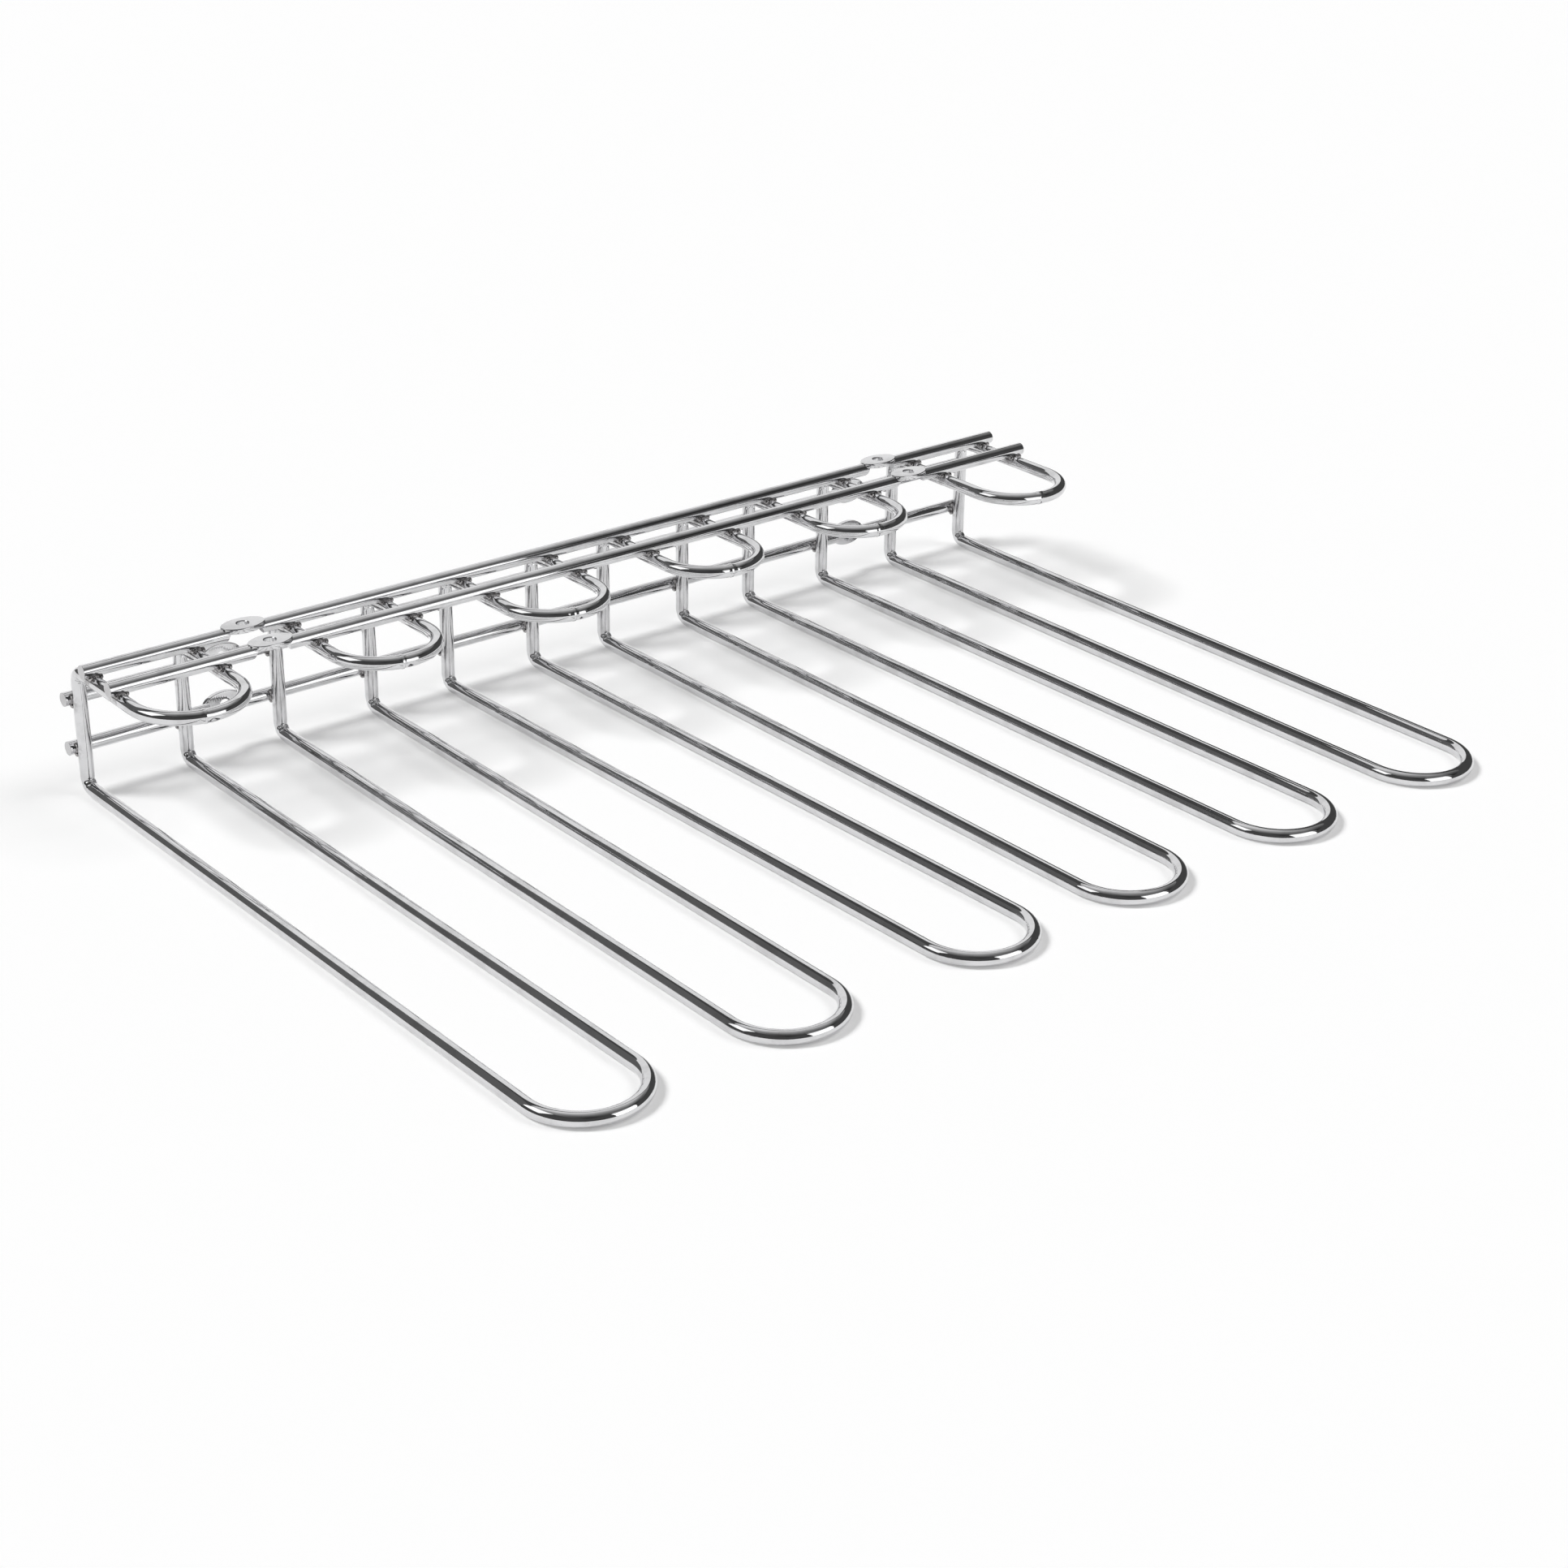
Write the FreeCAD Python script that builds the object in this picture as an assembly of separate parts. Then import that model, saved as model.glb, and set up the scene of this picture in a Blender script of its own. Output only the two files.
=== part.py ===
import FreeCAD, Part
import math
import os

# Hanging glass rack, bent and welded from one size of round steel wire and then plated.
# It is screwed up under a shelf by its top rails, or to a wall by its back rails.
# Stemmed glasses slide in from the front, foot up, and hang by their feet between two loops.
#
# Frame: +X runs along the rails, the front is at -Y and +Z is up. The origin lies under the
# middle of the rack's box, on the level that the long arms rest on. Sizes are millimetres.

# Wire
WIRE_DIAMETER = 6.0
INNER_BEND_RADIUS = 2.0      # inside of the bends at the foot and the head of each riser
WELD_SET_DOWN = 0.6          # how far two crossing wires sink together when they are welded

# Loops: each is one closed wire, a long U below and a short U above, joined by two risers.
# The bends don't come out quite alike, so each long tip stands a little to one side.
TIP_SPLAY = [1.5, -1.5, 6.5, 0.0, 2.5, -1.0]  # to the right of its risers, loop by loop
LOOP_COUNT = len(TIP_SPLAY)
LOOP_WIDTH = 46.0            # between the centrelines of a loop's two arms
OUTER_SLOT = 39.0            # clear width between the two outermost loops at each end
INNER_SLOT = 34.0            # clear width between the other loops
RISE = 52.0                  # from the long arms' centreline up to the short arms'
LONG_REACH = 340.0           # from the risers' centreline forward to the long U's tip
SHORT_REACH = 72.0           # from the risers' centreline forward to the short U's tip
LAST_LOOP_EXTRA = 13.0       # how much further the right-hand loop's short U reaches
SEAM_ANGLE = -11.0           # degrees from the short U's tip to the closing seam, + to the right
SEAM_LENGTH = 1.6
SEAM_HEIGHT = 0.2            # how far the seam's ring stands above the wire

# Rails
RAIL_OVERHANG = 2.0          # how far a rail's end passes the outermost wire
REAR_TOP_RAIL = 14.5         # from the risers' centreline forward to the rear top rail's
TOP_RAIL_SPACING = 22.5      # from there forward to the front top rail's
UPPER_BACK_RAIL_DROP = 13.5  # from the short arms' centreline down to the upper back rail's
LOWER_BACK_RAIL_RISE = 16.5  # from the long arms' centreline up to the lower back rail's
TOP_END_BEVEL = 0.4          # on the cut ends of the top rails
BACK_END_ROUNDING = 1.2      # on the ends of the back rails

# Lugs: flats pressed into each rail, with a screw hole, in the first and the last slot
LUG_LENGTH = 20.0
LUG_WIDTH = 12.0
LUG_THICKNESS = 2.4
LUG_PROUD = 0.5              # how far the lug's face stands above the wire
LUG_EDGE_ROUNDING = 0.3
SHOULDER_LENGTH = 2.0        # over which the wire tapers into the lug
SHOULDER_LAP = 3.0           # how far the wire's upper side runs on over the lug
SCREW_HOLE_DIAMETER = 5.0
SCREW_HOLE_BEVEL = 0.4

# Weld beads: the metal squeezed out round each crossing
BEAD_OVERHANG = 0.1          # how far a bead passes the sides of the wires
BEAD_THICKNESS = 1.6
BEAD_ROUNDING = 0.6

WIRE_RADIUS = WIRE_DIAMETER / 2
BEAD_RADIUS = WIRE_RADIUS + BEAD_OVERHANG
BEND_RADIUS = INNER_BEND_RADIUS + WIRE_RADIUS
TIP_RADIUS = LOOP_WIDTH / 2
CROSSING_DISTANCE = WIRE_DIAMETER - WELD_SET_DOWN
FACE_DISTANCE = WIRE_RADIUS + LUG_PROUD

LONG_ARM_Z = WIRE_RADIUS
SHORT_ARM_Z = LONG_ARM_Z + RISE
TOP_RAIL_Z = SHORT_ARM_Z + CROSSING_DISTANCE

BACK_FACE = CROSSING_DISTANCE + FACE_DISTANCE
FRONT_FACE = LONG_REACH + WIRE_RADIUS
RISER_Y = (FRONT_FACE - BACK_FACE) / 2
BACK_RAIL_Y = RISER_Y + CROSSING_DISTANCE

ALONG_X = FreeCAD.Vector(1, 0, 0)
ALONG_Y = FreeCAD.Vector(0, 1, 0)
ALONG_Z = FreeCAD.Vector(0, 0, 1)


def loop_positions():
    """X of each loop's middle, from left to right, about the rack's middle."""
    outer_pitch = OUTER_SLOT + WIRE_DIAMETER + LOOP_WIDTH
    inner_pitch = INNER_SLOT + WIRE_DIAMETER + LOOP_WIDTH
    positions = [0.0]
    for slot in range(LOOP_COUNT - 1):
        at_an_end = slot in (0, LOOP_COUNT - 2)
        positions.append(positions[-1] + (outer_pitch if at_an_end else inner_pitch))
    middle = positions[-1] / 2
    return [x - middle for x in positions]


def arm_positions():
    """X of every arm and riser."""
    return [x + side * TIP_RADIUS for x in loop_positions() for side in (-1, 1)]


def lug_positions():
    """X of the two lugs on each rail: the middles of the first and the last slot."""
    loops = loop_positions()
    return [(loops[0] + loops[1]) / 2, (loops[-2] + loops[-1]) / 2]


def quarter_turn(centre, first, last):
    """A quarter circle about a centre, from one arm to another square to it."""
    middle = (first + last) * math.sin(math.radians(45))
    return Part.Arc(centre + first, centre + middle, centre + last).toShape()


def straight(start, end):
    return Part.LineSegment(start, end).toShape()


def half_loop(side, short_reach, splay):
    """The left (-1) or right (1) half of a loop, its long arms at Z = 0 and its risers at Y = 0."""
    lean = math.asin(splay / LONG_REACH)
    ahead = FreeCAD.Vector(math.sin(lean), -math.cos(lean), 0)
    across = FreeCAD.Vector(math.cos(lean), math.sin(lean), 0) * side
    long_radius = TIP_RADIUS * math.cos(lean)
    riser = ALONG_X * (side * TIP_RADIUS)

    long_tip = ahead * LONG_REACH
    long_centre = ahead * (LONG_REACH - long_radius)
    foot_centre = riser + (ahead + ALONG_Z) * BEND_RADIUS
    head_centre = riser - ALONG_Y * BEND_RADIUS + ALONG_Z * (RISE - BEND_RADIUS)
    short_centre = ALONG_Z * RISE - ALONG_Y * (short_reach - TIP_RADIUS)

    centreline = Part.Wire([
        quarter_turn(long_centre, ahead * long_radius, across * long_radius),
        straight(long_centre + across * long_radius, foot_centre - ALONG_Z * BEND_RADIUS),
        quarter_turn(foot_centre, ALONG_Z * -BEND_RADIUS, ahead * -BEND_RADIUS),
        straight(foot_centre - ahead * BEND_RADIUS, head_centre + ALONG_Y * BEND_RADIUS),
        quarter_turn(head_centre, ALONG_Y * BEND_RADIUS, ALONG_Z * BEND_RADIUS),
        straight(head_centre + ALONG_Z * BEND_RADIUS, short_centre + riser),
        quarter_turn(short_centre, riser, ALONG_Y * -TIP_RADIUS),
    ])
    section = Part.Wire(Part.Circle(long_tip, across, WIRE_RADIUS).toShape())
    return centreline.makePipeShell([section], True, False)


def closing_seam(short_reach):
    """The low ring on the short U where the wire's two ends are butt welded."""
    centre = FreeCAD.Vector(0, -(short_reach - TIP_RADIUS), RISE)
    turn = math.degrees(SEAM_LENGTH / TIP_RADIUS)
    start = centre + FreeCAD.Vector(0, -TIP_RADIUS, 0)
    ring = Part.Face(Part.Wire(Part.Circle(start, ALONG_X, WIRE_RADIUS + SEAM_HEIGHT).toShape()))
    ring.rotate(centre, ALONG_Z, SEAM_ANGLE - turn / 2)
    return ring.revolve(centre, ALONG_Z, turn)


def glass_loop(x, short_reach, splay):
    left = half_loop(-1, short_reach, splay)
    right = half_loop(1, short_reach, splay)
    loop = left.fuse([right, closing_seam(short_reach)]).removeSplitter()
    loop.translate(FreeCAD.Vector(x, RISER_Y, LONG_ARM_Z))
    return loop


def glass_loops():
    reaches = [SHORT_REACH] * (LOOP_COUNT - 1) + [SHORT_REACH + LAST_LOOP_EXTRA]
    return [glass_loop(*sizes) for sizes in zip(loop_positions(), reaches, TIP_SPLAY)]


def eased_bar(length, easing, rounded):
    """A round bar along X about the origin, with its two end edges rounded or bevelled."""
    bar = Part.makeCylinder(WIRE_RADIUS, length, FreeCAD.Vector(-length / 2, 0, 0), ALONG_X)
    rims = [edge for edge in bar.Edges if isinstance(edge.Curve, Part.Circle)]
    return bar.makeFillet(easing, rims) if rounded else bar.makeChamfer(easing, rims)


def lug_plate(x):
    """An oval flat with its face up, FACE_DISTANCE above the wire's centreline."""
    base = FreeCAD.Vector(x, 0, FACE_DISTANCE - LUG_THICKNESS)
    outline = Part.Ellipse(base, LUG_LENGTH / 2, LUG_WIDTH / 2).toShape()
    plate = Part.Face(Part.Wire(outline)).extrude(ALONG_Z * LUG_THICKNESS)
    rims = [edge for edge in plate.Edges if isinstance(edge.Curve, Part.Ellipse)]
    return plate.makeFillet(LUG_EDGE_ROUNDING, rims)


def pressed_away(x):
    """The part of the round wire that the press moves: all that lies below the lug."""
    lap_end = LUG_LENGTH / 2 - SHOULDER_LAP
    shoulder = lap_end + SHOULDER_LENGTH
    top = FACE_DISTANCE - LUG_THICKNESS
    low = -WIRE_DIAMETER
    slope = SHOULDER_LENGTH / (top + WIRE_RADIUS)
    low_end = shoulder + slope * (-WIRE_RADIUS - low)
    corners = [(-lap_end, top), (lap_end, top), (low_end, low), (-low_end, low)]
    points = [FreeCAD.Vector(x + along, -WIRE_DIAMETER, height) for along, height in corners]
    side = Part.Face(Part.makePolygon(points + points[:1]))
    return side.extrude(ALONG_Y * (2 * WIRE_DIAMETER))


def screw_hole(x):
    """The drill for one lug, bevelled at the lug's face."""
    radius = SCREW_HOLE_DIAMETER / 2
    depth = 2 * WIRE_DIAMETER
    drill = Part.makeCylinder(radius, depth, FreeCAD.Vector(x, 0, FACE_DISTANCE - depth))
    rim = Part.makeCone(
        radius, radius + 2 * SCREW_HOLE_BEVEL, 2 * SCREW_HOLE_BEVEL,
        FreeCAD.Vector(x, 0, FACE_DISTANCE - SCREW_HOLE_BEVEL),
    )
    return drill.fuse(rim)


def rail(easing, rounded):
    """A rail along X about the origin, with its lug faces up."""
    arms = arm_positions()
    length = arms[-1] - arms[0] + WIRE_DIAMETER + 2 * RAIL_OVERHANG
    bar = eased_bar(length, easing, rounded)
    lugs = lug_positions()
    bar = bar.cut([pressed_away(x) for x in lugs])
    bar = bar.fuse([lug_plate(x) for x in lugs])
    return bar.cut([screw_hole(x) for x in lugs])


def top_rail(y, loops):
    """A rail that lies on the short arms and is welded down onto them."""
    bar = rail(TOP_END_BEVEL, rounded=False)
    bar.translate(FreeCAD.Vector(0, y, TOP_RAIL_Z))
    return bar.cut(loops)


def back_rail(z, loops):
    """A rail behind the risers, its lug faces turned to the wall."""
    bar = rail(BACK_END_ROUNDING, rounded=True)
    bar.rotate(FreeCAD.Vector(0, 0, 0), ALONG_X, -90)
    bar.translate(FreeCAD.Vector(0, BACK_RAIL_Y, z))
    return bar.cut(loops)


def weld_bead():
    """One bead between a wire along Y below and a wire along X above, about their contact."""
    start = FreeCAD.Vector(0, 0, -BEAD_THICKNESS / 2)
    puck = Part.makeCylinder(BEAD_RADIUS, BEAD_THICKNESS, start)
    rims = [edge for edge in puck.Edges if isinstance(edge.Curve, Part.Circle)]
    puck = puck.makeFillet(BEAD_ROUNDING, rims)
    offset = CROSSING_DISTANCE / 2
    long_enough = 4 * BEAD_RADIUS
    below = Part.makeCylinder(
        WIRE_RADIUS, long_enough, FreeCAD.Vector(0, -long_enough / 2, -offset), ALONG_Y
    )
    above = Part.makeCylinder(
        WIRE_RADIUS, long_enough, FreeCAD.Vector(-long_enough / 2, 0, offset), ALONG_X
    )
    return puck.cut([below, above])


def top_welds(y):
    """The beads between one top rail and all the short arms."""
    beads = []
    for x in arm_positions():
        bead = weld_bead()
        bead.translate(FreeCAD.Vector(x, y, SHORT_ARM_Z + CROSSING_DISTANCE / 2))
        beads.append(bead)
    return Part.makeCompound(beads)


def back_welds(z):
    """The beads between one back rail and all the risers."""
    beads = []
    for x in arm_positions():
        bead = weld_bead()
        bead.rotate(FreeCAD.Vector(0, 0, 0), ALONG_X, -90)
        bead.translate(FreeCAD.Vector(x, RISER_Y + CROSSING_DISTANCE / 2, z))
        beads.append(bead)
    return Part.makeCompound(beads)


def rack():
    """Every sub-part by its name."""
    rear_y = RISER_Y - REAR_TOP_RAIL
    front_y = rear_y - TOP_RAIL_SPACING
    upper_z = SHORT_ARM_Z - UPPER_BACK_RAIL_DROP
    lower_z = LONG_ARM_Z + LOWER_BACK_RAIL_RISE

    loops = glass_loops()
    parts = {f"glass_loop_{number}": loop for number, loop in enumerate(loops, start=1)}
    parts["top_rail_rear"] = top_rail(rear_y, loops)
    parts["top_rail_front"] = top_rail(front_y, loops)
    parts["back_rail_upper"] = back_rail(upper_z, loops)
    parts["back_rail_lower"] = back_rail(lower_z, loops)
    parts["welds_top_rail_rear"] = top_welds(rear_y)
    parts["welds_top_rail_front"] = top_welds(front_y)
    parts["welds_back_rail_upper"] = back_welds(upper_z)
    parts["welds_back_rail_lower"] = back_welds(lower_z)
    return parts


os.makedirs("parts", exist_ok=True)
for name, shape in rack().items():
    shape.exportStep(f"parts/{name}.step")
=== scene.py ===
import math
import random

import bpy
from mathutils import Matrix, Vector


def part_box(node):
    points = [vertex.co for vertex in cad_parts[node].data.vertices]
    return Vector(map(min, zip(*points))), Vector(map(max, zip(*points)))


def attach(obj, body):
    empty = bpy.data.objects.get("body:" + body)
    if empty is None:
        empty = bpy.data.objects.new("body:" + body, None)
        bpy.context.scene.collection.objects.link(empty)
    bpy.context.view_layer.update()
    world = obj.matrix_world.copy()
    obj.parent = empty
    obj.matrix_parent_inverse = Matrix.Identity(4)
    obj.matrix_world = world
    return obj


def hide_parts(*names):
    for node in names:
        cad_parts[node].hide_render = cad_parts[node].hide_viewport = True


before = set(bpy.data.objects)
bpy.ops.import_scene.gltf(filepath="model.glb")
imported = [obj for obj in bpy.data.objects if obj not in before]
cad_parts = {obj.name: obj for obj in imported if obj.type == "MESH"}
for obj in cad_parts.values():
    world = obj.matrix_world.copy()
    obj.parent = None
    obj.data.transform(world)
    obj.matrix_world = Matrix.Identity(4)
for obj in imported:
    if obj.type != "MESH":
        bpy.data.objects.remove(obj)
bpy.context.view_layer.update()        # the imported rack: wires, rails and welds, all on one body

MM = 0.001
ALONG_X = Vector((1, 0, 0))
ALONG_Y = Vector((0, 1, 0))
ALONG_Z = Vector((0, 0, 1))
QUARTER = math.radians(90)
TINY = 0.001 * MM            # points nearer than this are one point

# The wire and its bends
WIRE_RADIUS = 3.0 * MM
BEND_RADIUS = 5.0 * MM       # of the wire's middle, at the foot and the head of a riser
RING_POINTS = 64             # round the wire
BEND_STEPS = 20              # in a quarter bend
TIP_STEPS = 48               # in a loop's half-round tip
PINCH = 0.045                # how much of the wire a bend's former presses in
STRAIGHT_LEAD = 1.0 * MM     # from a straight run's end to the ring that keeps the bend out of it

# The butt weld that closes a loop
SEAM_ANGLE = math.radians(-11)
SEAM_SWELL = 1.06            # as a share of the wire
SEAM_HALF = 0.8 * MM
SEAM_GAP = 0.13 * MM         # a leaning loop comes round a little twisted, so its ends meet within this

# The rails
RAIL_SIDES = 64
TOP_END_BEVEL = 0.4 * MM
BACK_END_ROUNDING = 1.2 * MM
SMOOTH_ANGLE = math.radians(32)

# The pressed lugs on the rails
LUG_FROM_END = 73.5 * MM
LUG_LENGTH = 20.0 * MM
LUG_WIDTH = 12.0 * MM
LUG_THICKNESS = 2.4 * MM
LUG_PROUD = 0.5 * MM
LUG_FACE = WIRE_RADIUS + LUG_PROUD
LUG_SIDES = 96
LUG_EDGE_ROUNDING = 0.4 * MM
DIE_SHARE = 0.8              # of the lug's thickness, that the lower die leaves uncut
SHOULDER_HIGH = 7.0 * MM     # from the lug's middle: where the pressed part begins, under the lug
SHOULDER_LOW = 9.0 * MM      # and where it ends, at the wire's underside
HOLE_RADIUS = 2.5 * MM
HOLE_SIDES = 64
HOLE_BEVEL = 0.4 * MM
TOOL_DEPTH = 4 * WIRE_RADIUS  # of the die and the drill, well through the wire

# The metal squeezed out at a weld
BEAD_RADIUS = 3.1 * MM
BEAD_THICKNESS = 1.6 * MM
BLOB_OUT = 2.25 * MM         # from the crossing to the blob in each of its corners
BLOB_RADIUS = 1.15 * MM
BLOB_RISE = 0.25 * MM
LUMP_GRAIN = 0.25 * MM
LUMP_ROUGHNESS = 0.12 * MM
LUMP_PATTERNS = 4

# The chrome
CHROME = (0.70, 0.70, 0.71)
BURNT_CHROME = (0.20, 0.19, 0.19)
FLASH_CHROME = (0.52, 0.51, 0.51)
LINES_ACROSS = 2600.0        # drawing lines to a metre, across the wire
LINES_ALONG = 9.0            # and along it
RIBS = 280.0                 # waves to a metre on a lug's face, from the press
SHINE = 0.02                 # the roughness of clean chrome
STAIN_REACH = 2.2 * WIRE_RADIUS  # from a weld's middle to the end of its stain
FLASH_SHINE = 0.08
WIRE_RELIEF = 0.012 * MM
FLASH_RELIEF = 0.10 * MM

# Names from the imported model
BODY = "root"
LOOPS = sorted(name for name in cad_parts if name.startswith("glass_loop"))
TOP_RAILS = ["top_rail_rear", "top_rail_front"]
BACK_RAILS = ["back_rail_upper", "back_rail_lower"]


# ---------------------------------------------------------------- hands

def deselect_all():
    """Leaves nothing selected, so that the next operator acts only on what it is given."""
    bpy.ops.object.select_all(action="DESELECT")


def pick(piece):
    """Selects one piece only and makes it the active one."""
    deselect_all()
    piece.select_set(True)
    bpy.context.view_layer.objects.active = piece


def settle(piece, name):
    """Leaves a piece unturned and unscaled at the origin, with its place in its mesh."""
    pick(piece)
    bpy.ops.object.transform_apply(location=True, rotation=True, scale=True)
    piece.name = name
    piece.data.name = name
    return piece


def copy_of(piece):
    """A copy with its own mesh."""
    pick(piece)
    bpy.ops.object.duplicate(linked=False)
    return bpy.context.view_layer.objects.active


def join(pieces):
    """Makes several pieces one, and returns it."""
    deselect_all()
    for piece in pieces:
        piece.select_set(True)
    bpy.context.view_layer.objects.active = pieces[0]
    bpy.ops.object.join()
    return pieces[0]


def combine(piece, other, operation):
    """Joins, cuts or trims a piece with another, which is used up."""
    pick(piece)
    modifier = piece.modifiers.new(operation.lower(), "BOOLEAN")
    modifier.operation = operation
    modifier.solver = "EXACT"
    modifier.object = other
    bpy.ops.object.modifier_apply(modifier=modifier.name)
    bpy.data.objects.remove(other, do_unlink=True)


def face_outwards(gap):
    """In edit mode: merges what meets within a gap and turns every face outwards."""
    bpy.ops.mesh.select_all(action="SELECT")
    bpy.ops.mesh.remove_doubles(threshold=gap)
    bpy.ops.mesh.normals_make_consistent(inside=False)


def select_points(piece, test):
    """In edit mode: leaves selected the points that pass a test."""
    bpy.ops.mesh.select_mode(type="VERT")
    bpy.ops.mesh.select_all(action="DESELECT")
    bpy.ops.object.mode_set(mode="OBJECT")
    for vertex in piece.data.vertices:
        vertex.select = test(vertex.co)
    bpy.ops.object.mode_set(mode="EDIT")


# ---------------------------------------------------------------- bending wire

def open_ring(centre, along, radius):
    """Starts a wire: one ring of points square to its run, left selected in edit mode."""
    deselect_all()
    facing = ALONG_Z.rotation_difference(along).to_euler()
    bpy.ops.mesh.primitive_circle_add(
        vertices=RING_POINTS, radius=radius, location=centre, rotation=facing
    )
    wire = bpy.context.view_layer.objects.active
    bpy.ops.object.transform_apply(location=True, rotation=True, scale=True)
    bpy.ops.object.mode_set(mode="EDIT")
    bpy.ops.mesh.select_all(action="SELECT")
    return wire


def push(offset):
    """Draws the wire on in a straight line."""
    bpy.ops.mesh.extrude_region_move(TRANSFORM_OT_translate={"value": tuple(offset)})


def turn(point, centre, axis, angle):
    """Where a point comes to when it is turned about an axis through a centre."""
    return centre + Matrix.Rotation(angle, 3, axis) @ (point - centre)


def bend(point, centre, axis, angle, steps):
    """Bends the wire on round a centre, and returns where its middle has come to."""
    # spin turns the other way from a rotation matrix
    bpy.ops.mesh.spin(steps=steps, angle=-angle, center=tuple(centre), axis=tuple(axis))
    return turn(point, centre, axis, angle)


def squeeze(middle, factor):
    """Widens or narrows the wire's open end about a point."""
    bpy.ops.transform.resize(value=(factor, factor, factor), center_override=tuple(middle))


def draw_straight(offset):
    """A straight run, with a ring close to each end so that the bends don't shade into it."""
    lead = offset.normalized() * STRAIGHT_LEAD
    push(lead)
    push(offset - 2 * lead)
    push(lead)


def pinch(share):
    """The wire's size through a tight bend: two grooves from the former, with a ridge between."""
    return 1 - PINCH * math.sin(2 * math.pi * share) ** 2


def quarter_bend(point, centre, axis):
    """A tight bend over a former, which marks only the inside of the bend."""
    for step in range(BEND_STEPS):
        point = bend(point, centre, axis, QUARTER / BEND_STEPS, 1)
        outside = point + (point - centre).normalized() * WIRE_RADIUS
        squeeze(outside, pinch((step + 1) / BEND_STEPS) / pinch(step / BEND_STEPS))
    return point


def corners(points):
    """The lowest and the highest corner of a set of points."""
    low = Vector([min(point[axis] for point in points) for axis in range(3)])
    high = Vector([max(point[axis] for point in points) for axis in range(3)])
    return low, high


def measure_loop(node):
    """A loop's own sizes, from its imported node."""
    low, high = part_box(node)
    points = [vertex.co.copy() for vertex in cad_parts[node].data.vertices]
    middle_z = (low.z + high.z) / 2
    clear = 3 * WIRE_RADIUS
    risers = corners([p for p in points if p.y > high.y - clear])
    short_u = corners([p for p in points if p.z > middle_z])
    long_tip = corners([p for p in points if p.y < low.y + clear])
    return {
        "middle_x": (risers[0].x + risers[1].x) / 2,
        "half_width": (risers[1].x - risers[0].x) / 2 - WIRE_RADIUS,
        "riser_y": high.y - WIRE_RADIUS,
        "long_z": low.z + WIRE_RADIUS,
        "short_z": high.z - WIRE_RADIUS,
        "long_tip_y": low.y + WIRE_RADIUS,
        "short_tip_y": short_u[0].y + WIRE_RADIUS,
        "tip_x": (long_tip[0].x + long_tip[1].x) / 2,
    }


def bend_loop(node, number):
    """Bends one wire all the way round a loop, from its butt weld and back to it."""
    size = measure_loop(node)
    x, y, half = size["middle_x"], size["riser_y"], size["half_width"]
    short_z, long_z = size["short_z"], size["long_z"]
    reach = y - size["long_tip_y"]
    lean = math.atan2(size["tip_x"] - x, reach)
    ahead = Vector((math.sin(lean), -math.cos(lean), 0))
    across = Vector((math.cos(lean), math.sin(lean), 0))
    tip_radius = half * math.cos(lean)
    tip_centre = Vector((x, y, long_z)) + ahead * (reach / math.cos(lean) - tip_radius)
    short_centre = Vector((x, size["short_tip_y"] + half, short_z))

    swell_turn = SEAM_HALF / half
    from_tip = Vector((math.sin(SEAM_ANGLE), -math.cos(SEAM_ANGLE), 0))
    along = Vector((math.cos(SEAM_ANGLE), math.sin(SEAM_ANGLE), 0))
    point = short_centre + from_tip * half
    wire = open_ring(point, along, WIRE_RADIUS * SEAM_SWELL)
    point = bend(point, short_centre, ALONG_Z, swell_turn * 0.6, 2)
    point = bend(point, short_centre, ALONG_Z, swell_turn * 0.4, 1)
    squeeze(point, 1 / SEAM_SWELL)
    bend(point, short_centre, ALONG_Z, QUARTER - SEAM_ANGLE - swell_turn, TIP_STEPS // 2)

    right = ALONG_X * half
    head = Vector((x, y, short_z)) - (ALONG_Y + ALONG_Z) * BEND_RADIUS
    foot = Vector((x, y, long_z)) + (ahead + ALONG_Z) * BEND_RADIUS
    draw_straight(ALONG_Y * (head.y - short_centre.y))
    point = quarter_bend(head + right + ALONG_Z * BEND_RADIUS, head + right, -ALONG_X)
    draw_straight(ALONG_Z * (foot.z - head.z))
    point = quarter_bend(foot + right - ahead * BEND_RADIUS, foot + right, -across)
    draw_straight(tip_centre + across * tip_radius - point)
    bend(point, tip_centre, -ALONG_Z, 2 * QUARTER, TIP_STEPS)
    start = foot - right - ALONG_Z * BEND_RADIUS
    draw_straight(start - (tip_centre - across * tip_radius))
    point = quarter_bend(start, foot - right, across)
    draw_straight(ALONG_Z * (head.z - foot.z))
    point = quarter_bend(head - right + ALONG_Y * BEND_RADIUS, head - right, ALONG_X)
    draw_straight(ALONG_Y * (short_centre.y - head.y))

    point = short_centre - right
    point = bend(
        point, short_centre, ALONG_Z, QUARTER + SEAM_ANGLE - swell_turn, TIP_STEPS // 2
    )
    point = bend(point, short_centre, ALONG_Z, swell_turn * 0.4, 1)
    squeeze(point, SEAM_SWELL)
    bend(point, short_centre, ALONG_Z, swell_turn * 0.6, 2)
    face_outwards(SEAM_GAP)
    bpy.ops.object.mode_set(mode="OBJECT")
    bpy.ops.object.shade_smooth()
    settle(wire, f"loop_wire_{number}")
    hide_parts(node)
    return wire


loops = [bend_loop(node, number) for number, node in enumerate(LOOPS, start=1)]


# ---------------------------------------------------------------- rails

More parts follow.
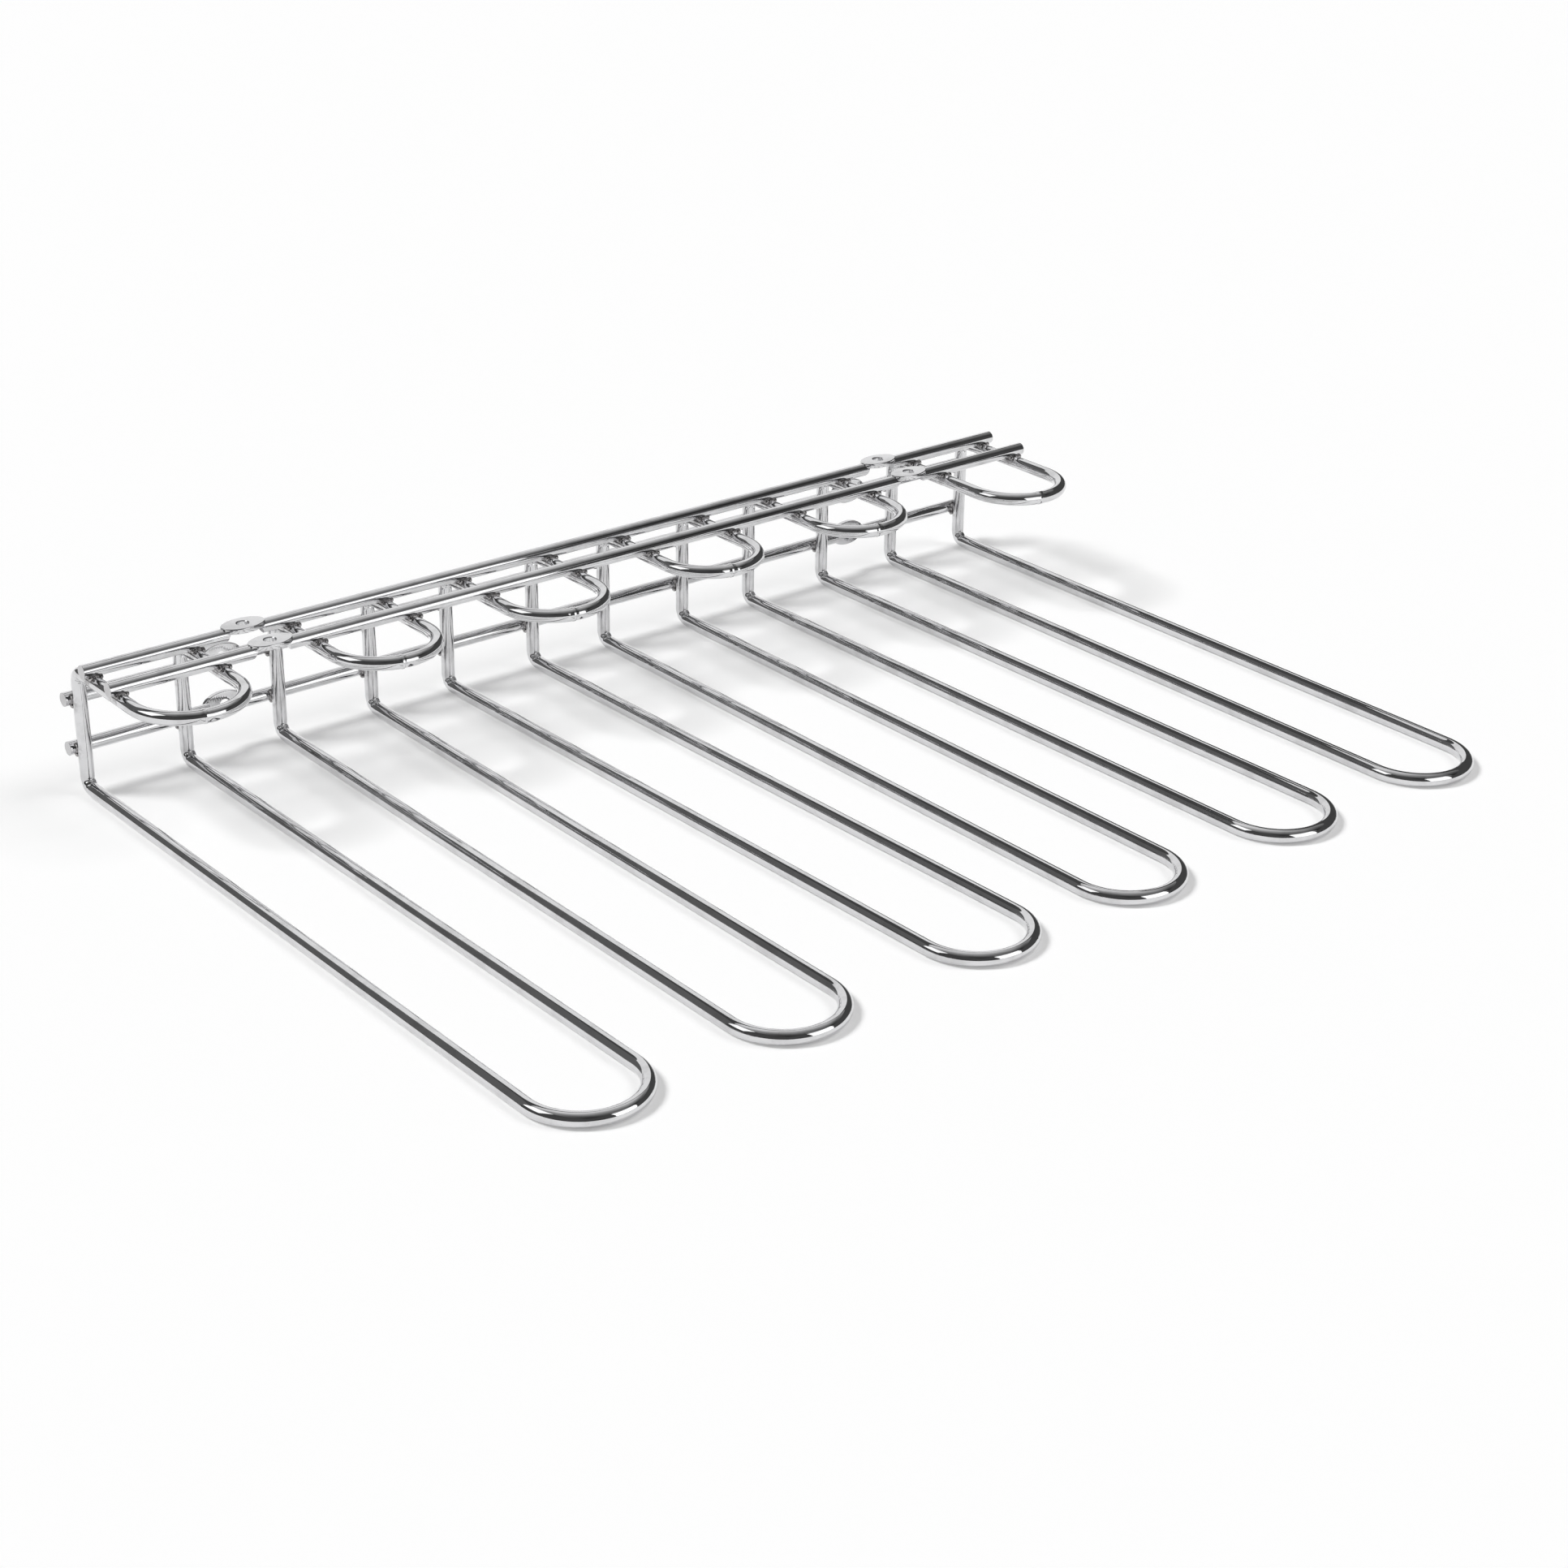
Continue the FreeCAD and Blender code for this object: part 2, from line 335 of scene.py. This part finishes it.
def turned_bar(length, easing, segments):
    """A round bar along X about the origin, with both of its end edges eased."""
    deselect_all()
    bpy.ops.mesh.primitive_cylinder_add(
        vertices=RAIL_SIDES, radius=WIRE_RADIUS, depth=length, rotation=(0, QUARTER, 0)
    )
    bar = bpy.context.view_layer.objects.active
    bpy.ops.object.transform_apply(location=True, rotation=True, scale=True)
    bpy.ops.object.mode_set(mode="EDIT")
    select_points(bar, lambda p: abs(abs(p.x) - length / 2) < 10 * TINY)
    bpy.ops.mesh.select_mode(type="FACE")
    bpy.ops.mesh.region_to_loop()
    bpy.ops.mesh.bevel(offset=easing, segments=segments, profile=0.5)
    bpy.ops.object.mode_set(mode="OBJECT")
    return bar


def die(x):
    """The press's lower die, a little into the lug: all that it fills is cleared of wire."""
    top = LUG_FACE - DIE_SHARE * LUG_THICKNESS
    bottom = top - TOOL_DEPTH
    deselect_all()
    bpy.ops.mesh.primitive_cube_add(size=1, location=(x, 0, top - TOOL_DEPTH / 2))
    block = bpy.context.view_layer.objects.active
    block.scale = (2 * SHOULDER_HIGH, TOOL_DEPTH, TOOL_DEPTH)
    bpy.ops.object.transform_apply(location=True, rotation=True, scale=True)
    bpy.ops.object.mode_set(mode="EDIT")
    select_points(block, lambda p: p.z < top - TOOL_DEPTH / 2)
    slope = (SHOULDER_LOW - SHOULDER_HIGH) / (top + WIRE_RADIUS)
    widen = 1 + slope * TOOL_DEPTH / SHOULDER_HIGH
    bpy.ops.transform.resize(value=(widen, 1, 1), center_override=(x, 0, bottom))
    bpy.ops.object.mode_set(mode="OBJECT")
    return block


def oval_lug(x):
    """The oval flat itself, with rounded rims."""
    deselect_all()
    bpy.ops.mesh.primitive_cylinder_add(
        vertices=LUG_SIDES, radius=0.5, depth=1, location=(x, 0, LUG_FACE - LUG_THICKNESS / 2)
    )
    lug = bpy.context.view_layer.objects.active
    lug.scale = (LUG_LENGTH, LUG_WIDTH, LUG_THICKNESS)
    bpy.ops.object.transform_apply(location=True, rotation=True, scale=True)
    bpy.ops.object.mode_set(mode="EDIT")
    bpy.ops.mesh.select_mode(type="EDGE")
    bpy.ops.mesh.select_all(action="DESELECT")
    bpy.ops.mesh.edges_select_sharp(sharpness=math.radians(60))
    bpy.ops.mesh.bevel(offset=LUG_EDGE_ROUNDING, segments=4, profile=0.5)
    bpy.ops.object.mode_set(mode="OBJECT")
    return lug


def drill(x):
    """A drill for one lug, with the bevel that it leaves at the face."""
    deselect_all()
    bpy.ops.mesh.primitive_cylinder_add(
        vertices=HOLE_SIDES, radius=HOLE_RADIUS, depth=TOOL_DEPTH,
        location=(x, 0, LUG_FACE - HOLE_BEVEL - TOOL_DEPTH / 2),
    )
    bit = bpy.context.view_layer.objects.active
    bpy.ops.object.transform_apply(location=True, rotation=True, scale=True)
    bpy.ops.object.mode_set(mode="EDIT")
    select_points(bit, lambda p: p.z > LUG_FACE - 2 * HOLE_BEVEL)
    push(ALONG_Z * (2 * HOLE_BEVEL))
    widen = 1 + 2 * HOLE_BEVEL / HOLE_RADIUS
    bpy.ops.transform.resize(
        value=(widen, widen, 1), center_override=(x, 0, LUG_FACE + HOLE_BEVEL)
    )
    bpy.ops.object.mode_set(mode="OBJECT")
    return bit


def press_rail(node, easing, segments):
    """A rail along X about the origin, its lug faces up, as it comes from the press."""
    low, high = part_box(node)
    bar = turned_bar(high.x - low.x, easing, segments)
    holes = (high.x - low.x) / 2 - LUG_FROM_END
    for x in (-holes, holes):
        combine(bar, die(x), "DIFFERENCE")
    for x in (-holes, holes):
        combine(bar, oval_lug(x), "UNION")
    for x in (-holes, holes):
        combine(bar, drill(x), "DIFFERENCE")
    pick(bar)
    bpy.ops.object.mode_set(mode="EDIT")
    face_outwards(TINY)
    bpy.ops.object.mode_set(mode="OBJECT")
    bpy.ops.object.shade_smooth_by_angle(angle=SMOOTH_ANGLE)
    return bar


def set_top_rail(node):
    """A top rail in its place, its lug faces up."""
    low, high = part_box(node)
    bar = press_rail(node, TOP_END_BEVEL, 1)
    pick(bar)
    bar.location = ((low.x + high.x) / 2, (low.y + high.y) / 2, high.z - LUG_FACE)
    settle(bar, node + "_wire")
    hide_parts(node)
    return bar


def set_back_rail(node):
    """A back rail in its place, its lug faces towards the wall."""
    low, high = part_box(node)
    bar = press_rail(node, BACK_END_ROUNDING, 5)
    pick(bar)
    bar.rotation_euler = (-QUARTER, 0, 0)
    bar.location = ((low.x + high.x) / 2, high.y - LUG_FACE, (low.z + high.z) / 2)
    settle(bar, node + "_wire")
    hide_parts(node)
    return bar


rails = [set_top_rail(node) for node in TOP_RAILS] + [set_back_rail(node) for node in BACK_RAILS]


# ---------------------------------------------------------------- welds

def ball(place, radius):
    """One round blob of metal."""
    deselect_all()
    bpy.ops.mesh.primitive_ico_sphere_add(subdivisions=3, radius=radius, location=place)
    return bpy.context.view_layer.objects.active


def weld_lump(chance):
    """Metal squeezed out round one crossing: a flat puck with an uneven blob in each corner."""
    deselect_all()
    bpy.ops.mesh.primitive_cylinder_add(
        vertices=32, radius=BEAD_RADIUS, depth=BEAD_THICKNESS, location=(0, 0, 0)
    )
    parts = [bpy.context.view_layer.objects.active]
    for right in (-1, 1):
        for ahead in (-1, 1):
            out = BLOB_OUT * chance.uniform(0.93, 1.07)
            rise = chance.uniform(-1, 1) * BLOB_RISE
            place = (right * out, ahead * out, rise)
            parts.append(ball(place, BLOB_RADIUS * chance.uniform(0.8, 1.15)))
    lump = join(parts)
    remesh = lump.modifiers.new("fuse", "REMESH")
    remesh.mode = "VOXEL"
    remesh.voxel_size = LUMP_GRAIN
    remesh.use_smooth_shade = True
    bpy.ops.object.modifier_apply(modifier=remesh.name)
    bpy.ops.object.mode_set(mode="EDIT")
    bpy.ops.mesh.select_all(action="SELECT")
    bpy.ops.transform.vertex_random(
        offset=LUMP_ROUGHNESS, uniform=0.0, normal=1.0, seed=chance.randrange(100)
    )
    bpy.ops.mesh.vertices_smooth(factor=0.5, repeat=3)
    bpy.ops.object.mode_set(mode="OBJECT")
    bpy.ops.object.transform_apply(location=True, rotation=True, scale=True)
    return lump


def arm_places():
    """X of the middle of every arm, from left to right."""
    sizes = [measure_loop(node) for node in LOOPS]
    return [size["middle_x"] + side * size["half_width"] for size in sizes for side in (-1, 1)]


def weld_row(node, patterns, first, stand_up):
    """The lumps of one rail as one piece: one at each crossing, from a first pattern on."""
    low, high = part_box(node)
    middle = (low + high) / 2
    lumps = []
    for number, x in enumerate(arm_places()):
        lump = copy_of(patterns[(3 * number + first) % len(patterns)])
        if stand_up:
            lump.rotation_euler = (-QUARTER, 0, 0)
        lump.location = (x, middle.y, middle.z)
        lumps.append(lump)
    row = settle(join(lumps), node + "_flash")
    bpy.ops.object.shade_smooth()
    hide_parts(node)
    return row


chance = random.Random(5)
patterns = [weld_lump(chance) for _ in range(LUMP_PATTERNS)]
welds = [weld_row("welds_" + node, patterns, k, False) for k, node in enumerate(TOP_RAILS)]
welds += [weld_row("welds_" + node, patterns, k + 2, True) for k, node in enumerate(BACK_RAILS)]
for pattern in patterns:
    bpy.data.objects.remove(pattern, do_unlink=True)


# ---------------------------------------------------------------- finishes

def new_group(name, inputs, outputs):
    """An empty node group with named inputs and outputs; a number in the inputs is a default."""
    group = bpy.data.node_groups.new(name, "ShaderNodeTree")
    for label, value in inputs.items():
        kind = "NodeSocketVector" if value is None else "NodeSocketFloat"
        socket = group.interface.new_socket(name=label, in_out="INPUT", socket_type=kind)
        if value is not None:
            socket.default_value = value
    for label in outputs:
        group.interface.new_socket(name=label, in_out="OUTPUT", socket_type="NodeSocketFloat")
    return group, group.nodes.new("NodeGroupInput"), group.nodes.new("NodeGroupOutput")


def math_node(tree, operation, first, second=0.5):
    """One sum on numbers or values."""
    node = tree.nodes.new("ShaderNodeMath")
    node.operation = operation
    for socket, value in zip(node.inputs, (first, second)):
        if isinstance(value, (int, float)):
            socket.default_value = value
        else:
            tree.links.new(value, socket)
    return node.outputs[0]


def spread(tree, value, low, high, to_low=0.0, to_high=1.0):
    """Maps low..high of a value onto to_low..to_high, smoothly and no further."""
    node = tree.nodes.new("ShaderNodeMapRange")
    node.interpolation_type = "SMOOTHSTEP"
    for name, number in (
        ("From Min", low), ("From Max", high), ("To Min", to_low), ("To Max", to_high)
    ):
        node.inputs[name].default_value = number
    tree.links.new(value, node.inputs["Value"])
    return node.outputs["Result"]


def cloud(tree, vector, scale, detail=3.0, roughness=0.55):
    """A noise pattern; its scale is a number or another value."""
    node = tree.nodes.new("ShaderNodeTexNoise")
    node.inputs["Detail"].default_value = detail
    node.inputs["Roughness"].default_value = roughness
    if isinstance(scale, (int, float)):
        node.inputs["Scale"].default_value = scale
    else:
        tree.links.new(scale, node.inputs["Scale"])
    tree.links.new(vector, node.inputs["Vector"])
    return node.outputs["Fac"]


def stretched(tree, vector, scales):
    """A vector with its three axes scaled."""
    node = tree.nodes.new("ShaderNodeMapping")
    node.inputs["Scale"].default_value = scales
    tree.links.new(vector, node.inputs["Vector"])
    return node.outputs["Vector"]


def plating_group():
    """What handling and plating leave on chrome: cloudy haze, pits and a faint waviness."""
    group, given, made = new_group(
        "plating", {"Vector": None, "Haze Scale": 90.0, "Pit Scale": 900.0},
        ("Haze", "Pits", "Waves"),
    )
    vector = given.outputs["Vector"]
    haze = cloud(group, vector, given.outputs["Haze Scale"], detail=5.0, roughness=0.6)
    group.links.new(spread(group, haze, low=0.42, high=0.72), made.inputs["Haze"])
    pits = group.nodes.new("ShaderNodeTexVoronoi")
    group.links.new(vector, pits.inputs["Vector"])
    group.links.new(given.outputs["Pit Scale"], pits.inputs["Scale"])
    sparse = cloud(group, vector, scale=260.0, detail=2.0)
    near = spread(group, pits.outputs["Distance"], low=0.05, high=0.16, to_low=1.0, to_high=0.0)
    some = spread(group, sparse, low=0.55, high=0.62)
    group.links.new(math_node(group, "MULTIPLY", near, some), made.inputs["Pits"])
    waves = cloud(group, vector, scale=140.0, detail=1.0)
    group.links.new(waves, made.inputs["Waves"])
    return group


def drawing_group():
    """Fine lines that the drawing die leaves along a wire."""
    group, given, made = new_group("drawing_lines", {"Vector": None}, ("Lines",))
    lines = cloud(group, given.outputs["Vector"], scale=1.0, detail=4.0, roughness=0.7)
    group.links.new(spread(group, lines, low=0.35, high=0.7), made.inputs["Lines"])
    return group


def place_group(tree, group, vector, **values):
    """Puts a shared effect in a material, and returns its outputs."""
    node = tree.nodes.new("ShaderNodeGroup")
    node.node_tree = group
    tree.links.new(vector, node.inputs["Vector"])
    for name, value in values.items():
        node.inputs[name.replace("_", " ")].default_value = value
    return node.outputs


def metal(name):
    """A metal material, its shader and its Object coordinates."""
    material = bpy.data.materials.new(name)
    material.use_nodes = True
    tree = material.node_tree
    shader = tree.nodes["Principled BSDF"]
    shader.inputs["Metallic"].default_value = 1.0
    place = tree.nodes.new("ShaderNodeTexCoord").outputs["Object"]
    return material, tree, shader, place


def axis_of(tree, place, axis):
    """One of a vector's X, Y and Z."""
    node = tree.nodes.new("ShaderNodeSeparateXYZ")
    tree.links.new(place, node.inputs["Vector"])
    return node.outputs[axis]


def blend(tree, share, first, second):
    """first where the share is 0, second where it is 1."""
    difference = math_node(tree, "SUBTRACT", second, first)
    return math_node(tree, "ADD", math_node(tree, "MULTIPLY", difference, share), first)


def paint(tree, shader, share, clean, marked):
    """Runs the base colour from clean to marked."""
    ramp = tree.nodes.new("ShaderNodeValToRGB")
    ramp.color_ramp.elements[0].color = (*clean, 1)
    ramp.color_ramp.elements[1].color = (*marked, 1)
    tree.links.new(share, ramp.inputs["Fac"])
    tree.links.new(ramp.outputs["Color"], shader.inputs["Base Color"])


def raise_surface(tree, shader, height, distance):
    """Lets a height stand out from the surface by a distance."""
    bump = tree.nodes.new("ShaderNodeBump")
    bump.inputs["Strength"].default_value = 1.0
    bump.inputs["Distance"].default_value = distance
    tree.links.new(height, bump.inputs["Height"])
    tree.links.new(bump.outputs["Normal"], shader.inputs["Normal"])


def weighed(tree, parts, base=0.0):
    """The sum of several values, each times its own weight, on top of a base."""
    total = None
    for value, weight in parts:
        share = math_node(tree, "MULTIPLY", value, weight)
        total = share if total is None else math_node(tree, "ADD", total, share)
    return math_node(tree, "ADD", total, base)


def near_line(tree, place, first, second, reach):
    """1 close to a line along X through the two given values of Y and Z, 0 beyond reach."""
    across = math_node(tree, "SUBTRACT", axis_of(tree, place, "Y"), first)
    up = math_node(tree, "SUBTRACT", axis_of(tree, place, "Z"), second)
    square = math_node(
        tree, "ADD", math_node(tree, "MULTIPLY", across, across),
        math_node(tree, "MULTIPLY", up, up),
    )
    return spread(tree, math_node(tree, "SQRT", square), 0.4 * reach, reach, 1.0, 0.0)


def loop_finish(plating, drawing):
    """Chrome on bent wire, its lines following the arms and the risers, stained by the welds."""
    material, tree, shader, place = metal("chrome_loop_wire")
    marks = place_group(tree, plating, place)
    along_arms = place_group(
        tree, drawing, stretched(tree, place, (LINES_ACROSS, LINES_ALONG, LINES_ACROSS))
    )["Lines"]
    along_risers = place_group(
        tree, drawing, stretched(tree, place, (LINES_ACROSS, LINES_ACROSS, LINES_ALONG))
    )["Lines"]
    sizes = measure_loop(LOOPS[0])
    height = axis_of(tree, place, "Z")
    above = spread(tree, height, sizes["long_z"] + BEND_RADIUS, sizes["long_z"] + 2 * BEND_RADIUS)
    below = spread(
        tree, height, sizes["short_z"] - 2 * BEND_RADIUS, sizes["short_z"] - BEND_RADIUS, 1.0, 0.0
    )
    riser = math_node(tree, "MULTIPLY", above, below)
    lines = blend(tree, riser, along_arms, along_risers)

    stain = None
    for node in TOP_RAILS + BACK_RAILS:
        low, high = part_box("welds_" + node)
        middle = (low + high) / 2
        ring = near_line(tree, place, middle.y, middle.z, STAIN_REACH)
        stain = ring if stain is None else math_node(tree, "MAXIMUM", stain, ring)
    patchy = spread(tree, cloud(tree, place, scale=420.0), low=0.35, high=0.65)
    stain = math_node(tree, "MULTIPLY", stain, patchy)

    haze, pits, waves = marks["Haze"], marks["Pits"], marks["Waves"]
    dirt = weighed(tree, ((haze, 0.22), (pits, 0.5), (stain, 0.55)))
    paint(tree, shader, dirt, CHROME, BURNT_CHROME)
    rough = weighed(tree, ((haze, 0.03), (lines, 0.02), (stain, 0.18)), SHINE)
    tree.links.new(rough, shader.inputs["Roughness"])
    relief = weighed(tree, ((lines, 0.035), (waves, 0.6), (pits, -0.5)))
    raise_surface(tree, shader, relief, WIRE_RELIEF)
    return material


def rail_finish(plating, drawing):
    """Chrome on straight wire: lines along it, press marks on the lugs, a cut face at each end."""
    material, tree, shader, place = metal("chrome_rail_wire")
    marks = place_group(tree, plating, place)
    lines = place_group(
        tree, drawing, stretched(tree, place, (LINES_ALONG, LINES_ACROSS, LINES_ACROSS))
    )["Lines"]
    low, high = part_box(TOP_RAILS[0])
    half = (high.x - low.x) / 2
    from_middle = math_node(tree, "ABSOLUTE", axis_of(tree, place, "X"))
    from_lug = math_node(
        tree, "ABSOLUTE", math_node(tree, "SUBTRACT", from_middle, half - LUG_FROM_END)
    )
    pressed = spread(
        tree, from_lug, low=0.45 * LUG_LENGTH, high=0.52 * LUG_LENGTH, to_low=1.0, to_high=0.0
    )
    sawn = spread(tree, from_middle, half - 0.3 * MM, half - 0.1 * MM)
    ribs = tree.nodes.new("ShaderNodeTexWave")
    ribs.inputs["Scale"].default_value = RIBS
    ribs.inputs["Distortion"].default_value = 1.5
    tree.links.new(place, ribs.inputs["Vector"])
    grit = cloud(tree, place, scale=2400.0)

    haze, pits, waves = marks["Haze"], marks["Pits"], marks["Waves"]
    dirt = weighed(tree, ((haze, 0.22), (pits, 0.5), (sawn, 0.3)))
    paint(tree, shader, dirt, CHROME, BURNT_CHROME)
    rough = weighed(tree, ((haze, 0.03), (lines, 0.02), (pressed, 0.06), (sawn, 0.2)), SHINE)
    tree.links.new(rough, shader.inputs["Roughness"])
    ridges = math_node(tree, "MULTIPLY", ribs.outputs["Fac"], pressed)
    gritty = math_node(tree, "MULTIPLY", grit, sawn)
    relief = weighed(
        tree, ((lines, 0.035), (waves, 0.6), (ridges, 0.4), (gritty, 2.0), (pits, -0.5))
    )
    raise_surface(tree, shader, relief, WIRE_RELIEF)
    return material


def flash_finish(plating):
    """Plating over burnt, squeezed-out metal: dark, uneven and half dull."""
    material, tree, shader, place = metal("chrome_weld_flash")
    marks = place_group(tree, plating, place, Haze_Scale=500.0, Pit_Scale=1500.0)
    lumpy = cloud(tree, place, scale=900.0, detail=4.0, roughness=0.65)
    paint(tree, shader, spread(tree, lumpy, low=0.3, high=0.7), FLASH_CHROME, BURNT_CHROME)
    rough = weighed(tree, ((marks["Haze"], 0.2),), FLASH_SHINE)
    tree.links.new(rough, shader.inputs["Roughness"])
    relief = math_node(tree, "SUBTRACT", lumpy, marks["Pits"])
    raise_surface(tree, shader, relief, FLASH_RELIEF)
    return material


plating = plating_group()
drawing = drawing_group()
for pieces, material, slot in (
    (loops, loop_finish(plating, drawing), "loop_wire"),
    (rails, rail_finish(plating, drawing), "rail_wire"),
    (welds, flash_finish(plating), "weld_bead"),
):
    for piece in pieces:
        piece.data.materials.clear()
        piece.data.materials.append(material)
        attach(piece, BODY)


# ---------------------------------------------------------------- studio

FLOOR_WIDTH = 40.0
FLOOR_WHITE = (0.8, 0.8, 0.8)
FLOOR_GLOW = 0.22
DARK_STUDIO = 0.07           # what the chrome sees where there is no card
FILL = 0.25                  # what lights the floor from all round
WHITE_BEYOND = 1.0           # what the camera sees past the floor's edge

CEILING_MIDDLE = (0.5, -0.65, 1.9)
CEILING_SIZE = (3.8, 3.7, 1)
CEILING_FRONT = -2.3         # Y where it is darkest
CEILING_REAR = 0.8           # Y where it is brightest
CEILING_FALL = 2.4           # how quickly it darkens from rear to front
CEILING_DARK = 0.07
CEILING_BRIGHT = 0.80

AIM = Vector((-5.1, 2.6, -2.6)) * MM
CAMERA_DISTANCE = 1.2103
CAMERA_AZIMUTH = -0.6898
CAMERA_ELEVATION = 0.4429
CAMERA_ROLL = 0.0158
LENS = 65.67
SENSOR_WIDTH = 36
NEAREST_SEEN = 0.05


def matt(name, colour):
    """A plain dull material, and its shader."""
    material = bpy.data.materials.new(name)
    material.use_nodes = True
    shader = material.node_tree.nodes["Principled BSDF"]
    shader.inputs["Base Color"].default_value = (*colour, 1)
    shader.inputs["Roughness"].default_value = 0.6
    shader.inputs["Specular IOR Level"].default_value = 0.0
    shader.inputs["Emission Color"].default_value = (1, 1, 1, 1)
    return material, shader


def floor():
    """A white floor, partly lit from below, so that shadows on it stay soft and pale."""
    deselect_all()
    bpy.ops.mesh.primitive_plane_add(size=FLOOR_WIDTH, location=(0, 0, 0))
    ground = bpy.context.view_layer.objects.active
    ground.name = "studio_floor"
    material, shader = matt("white_floor", FLOOR_WHITE)
    shader.inputs["Emission Strength"].default_value = FLOOR_GLOW
    ground.data.materials.append(material)


def at(azimuth, elevation, distance):
    """A place seen from the rack: azimuth 0 is behind it, 90 to its right."""
    a, e = math.radians(azimuth), math.radians(elevation)
    return Vector((math.sin(a) * math.cos(e), math.cos(a) * math.cos(e), math.sin(e))) * distance


def sheet(name, place, size, turned):
    """A glowing sheet that shows only in the rack's reflections, and its material and shader."""
    deselect_all()
    bpy.ops.mesh.primitive_plane_add(size=1, location=place, rotation=turned)
    panel = bpy.context.view_layer.objects.active
    panel.name = name
    panel.scale = size
    bpy.ops.object.transform_apply(location=True, rotation=True, scale=True)
    panel.visible_camera = False
    panel.visible_diffuse = False
    panel.visible_shadow = False
    material, shader = matt(name, (0, 0, 0))
    panel.data.materials.append(material)
    return material, shader


def card(name, azimuth, elevation, distance, width, height, brightness):
    """A plain card that faces the rack."""
    place = at(azimuth, elevation, distance)
    facing = place.to_track_quat("Z", "Y").to_euler()
    material, shader = sheet(name, place, (width, height, 1), facing)
    shader.inputs["Emission Strength"].default_value = brightness


def upright(name, place, width, height, brightness):
    """A card that stands square to the rack's depth, in front of it."""
    material, shader = sheet(name, place, (width, height, 1), (QUARTER, 0, 0))
    shader.inputs["Emission Strength"].default_value = brightness


def ceiling():
    """A pale ceiling, bright above the back wall and fading out towards the front."""
    material, shader = sheet("ceiling", CEILING_MIDDLE, CEILING_SIZE, (0, 0, 0))
    tree = material.node_tree
    place = tree.nodes.new("ShaderNodeTexCoord").outputs["Object"]
    share = tree.nodes.new("ShaderNodeMapRange")
    share.inputs["From Min"].default_value = CEILING_FRONT
    share.inputs["From Max"].default_value = CEILING_REAR
    tree.links.new(axis_of(tree, place, "Y"), share.inputs["Value"])
    rear = math_node(tree, "POWER", share.outputs["Result"], CEILING_FALL)
    glow = weighed(tree, ((rear, CEILING_BRIGHT),), CEILING_DARK)
    across = axis_of(tree, place, "X")
    left_side = spread(tree, across, low=-1.0, high=0.1, to_low=0.5, to_high=1.0)
    right_side = spread(tree, across, low=0.9, high=1.95, to_low=1.0, to_high=0.33)
    glow = math_node(tree, "MULTIPLY", glow, left_side)
    glow = math_node(tree, "MULTIPLY", glow, right_side)
    tree.links.new(glow, shader.inputs["Emission Strength"])


def key_light(name, azimuth, elevation, power, softness):
    """A large, even light, kept out of the reflections."""
    deselect_all()
    bpy.ops.object.light_add(type="SUN", location=at(azimuth, elevation, 2.0))
    light = bpy.context.view_layer.objects.active
    light.name = name
    light.rotation_euler = at(azimuth, elevation, 1.0).to_track_quat("Z", "Y").to_euler()
    light.data.angle = math.radians(softness)
    light.data.energy = power
    light.visible_glossy = False


def surroundings():
    """A dark studio in the reflections, an even fill on the floor, and white past its edge."""
    world = bpy.data.worlds.new("studio")
    bpy.context.scene.world = world
    world.use_nodes = True
    nodes, links = world.node_tree.nodes, world.node_tree.links
    background = nodes["Background"]
    background.inputs["Color"].default_value = (1, 1, 1, 1)
    path = nodes.new("ShaderNodeLightPath")
    strength = nodes.new("ShaderNodeMix")
    strength.inputs["A"].default_value = DARK_STUDIO
    strength.inputs["B"].default_value = FILL
    links.new(path.outputs["Is Diffuse Ray"], strength.inputs["Factor"])
    seen = nodes.new("ShaderNodeMix")
    links.new(path.outputs["Is Camera Ray"], seen.inputs["Factor"])
    links.new(strength.outputs["Result"], seen.inputs["A"])
    seen.inputs["B"].default_value = WHITE_BEYOND
    links.new(seen.outputs["Result"], background.inputs["Strength"])


def camera():
    """A camera at the front left, a little above the rack and a touch rolled."""
    facing = (
        Matrix.Rotation(CAMERA_AZIMUTH, 4, "Z")
        @ Matrix.Rotation(QUARTER - CAMERA_ELEVATION, 4, "X")
    )
    away = facing.to_3x3() @ ALONG_Z
    lens = bpy.data.cameras.new("camera")
    lens.lens = LENS
    lens.sensor_width = SENSOR_WIDTH
    lens.clip_start = NEAREST_SEEN
    view = bpy.data.objects.new("camera", lens)
    bpy.context.collection.objects.link(view)
    view.matrix_world = (
        Matrix.Translation(AIM + away * CAMERA_DISTANCE)
        @ facing @ Matrix.Rotation(CAMERA_ROLL, 4, "Z")
    )
    bpy.context.scene.camera = view


floor()
surroundings()
card("back_wall", azimuth=19, elevation=21.5, distance=2.2, width=2.4, height=2.02, brightness=0.95)
card("dim_wall", azimuth=-32, elevation=24, distance=2.6, width=2.0, height=2.3, brightness=0.13)
card("left_box", azimuth=-68, elevation=41, distance=2.0, width=1.0, height=1.05, brightness=1.5)
card(
    "front_box", azimuth=163.5, elevation=19.2, distance=0.914, width=0.59, height=0.58,
    brightness=1.7,
)
upright("front_grey", place=(0.40, -0.85, 0.80), width=0.78, height=0.45, brightness=0.30)
ceiling()
key_light("key_light", azimuth=-55, elevation=50, power=2.15, softness=18)
key_light("front_light", azimuth=125, elevation=52, power=0.74, softness=30)
camera()
bpy.context.scene.view_settings.view_transform = "Standard"
